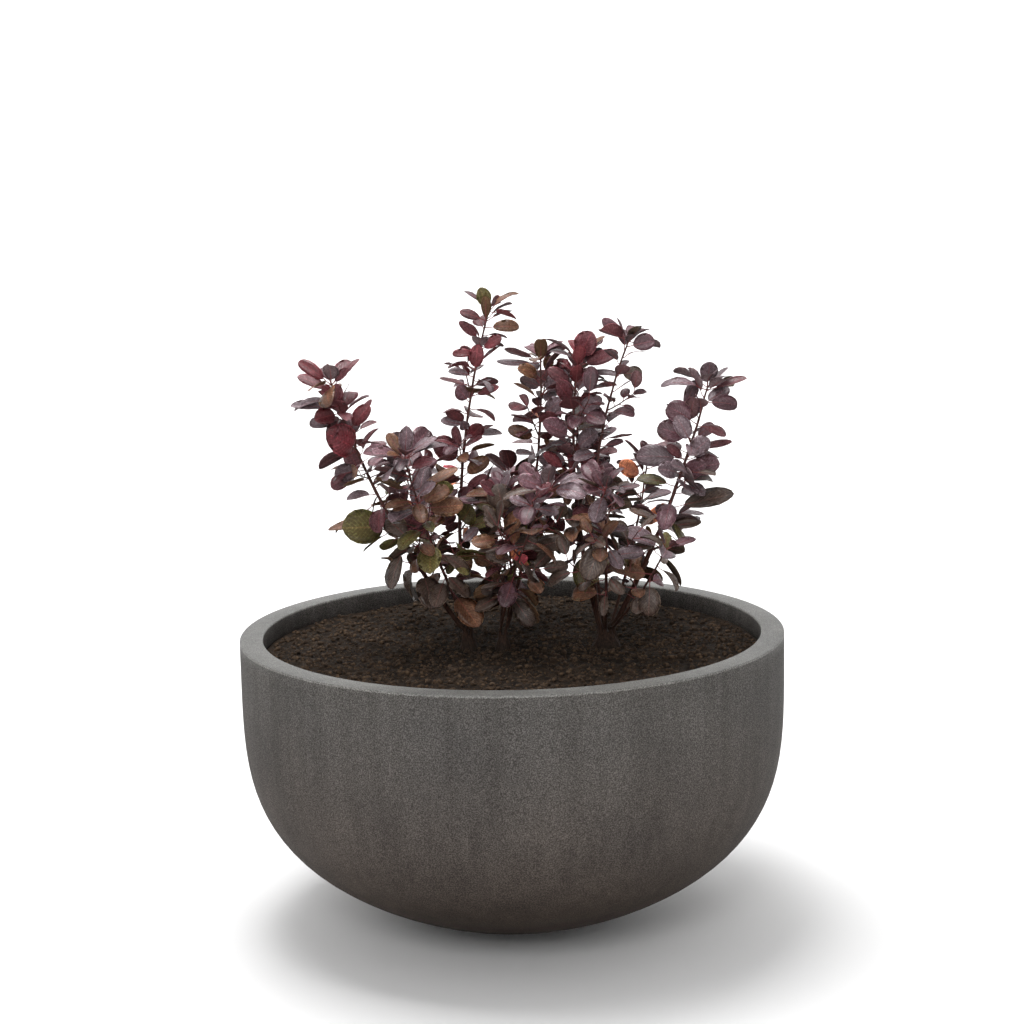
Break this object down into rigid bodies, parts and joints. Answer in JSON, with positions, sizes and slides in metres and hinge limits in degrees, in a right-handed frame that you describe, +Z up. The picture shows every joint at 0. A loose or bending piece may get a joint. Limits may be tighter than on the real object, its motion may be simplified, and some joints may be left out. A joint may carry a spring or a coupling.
{
  "type": "potted smoke bush",
  "caption": "Young purple-leaved smoke bush of several upright stems, growing in a large low round bowl planter filled with soil.",
  "frame": {"origin": "on the ground, at the middle of the bowl's flat underside", "axes": "+Z up along the bowl's axis, -Y towards the front as in the picture, +X to the viewer's right"},
  "size_m": [0.9, 0.9, 1.0634],
  "materials": {
    "pot": "matte",
    "soil": "matte",
    "bark": "matte",
    "foliage": "satin"
  },
  "bodies": {
    "root": {"pot": "pot", "soil": "soil", "stem_base_left": "bark", "stem_base_middle": "bark", "stem_base_right": "bark", "bough_left_long": "bark", "bough_left_rosette": "bark", "bough_tall": "bark", "bough_left_back": "bark", "bough_middle_low": "bark", "bough_middle_front": "bark", "bough_centre_tall": "bark", "bough_middle_back": "bark", "bough_right_long": "bark", "bough_centre_thick": "bark", "bough_centre_right": "bark", "bough_right_front": "bark", "bough_right_low": "bark", "bough_right_back": "bark", "bough_back_centre": "bark", "leaves_left_long": "foliage", "leaves_left_rosette": "foliage", "leaves_tall": "foliage", "leaves_left_back": "foliage", "leaves_middle_low": "foliage", "leaves_middle_front": "foliage", "leaves_centre_tall": "foliage", "leaves_middle_back": "foliage", "leaves_right_long": "foliage", "leaves_centre_thick": "foliage", "leaves_centre_right": "foliage", "leaves_right_front": "foliage", "leaves_right_low": "foliage", "leaves_right_back": "foliage", "leaves_back_centre": "foliage"}
  },
  "joints": []
}
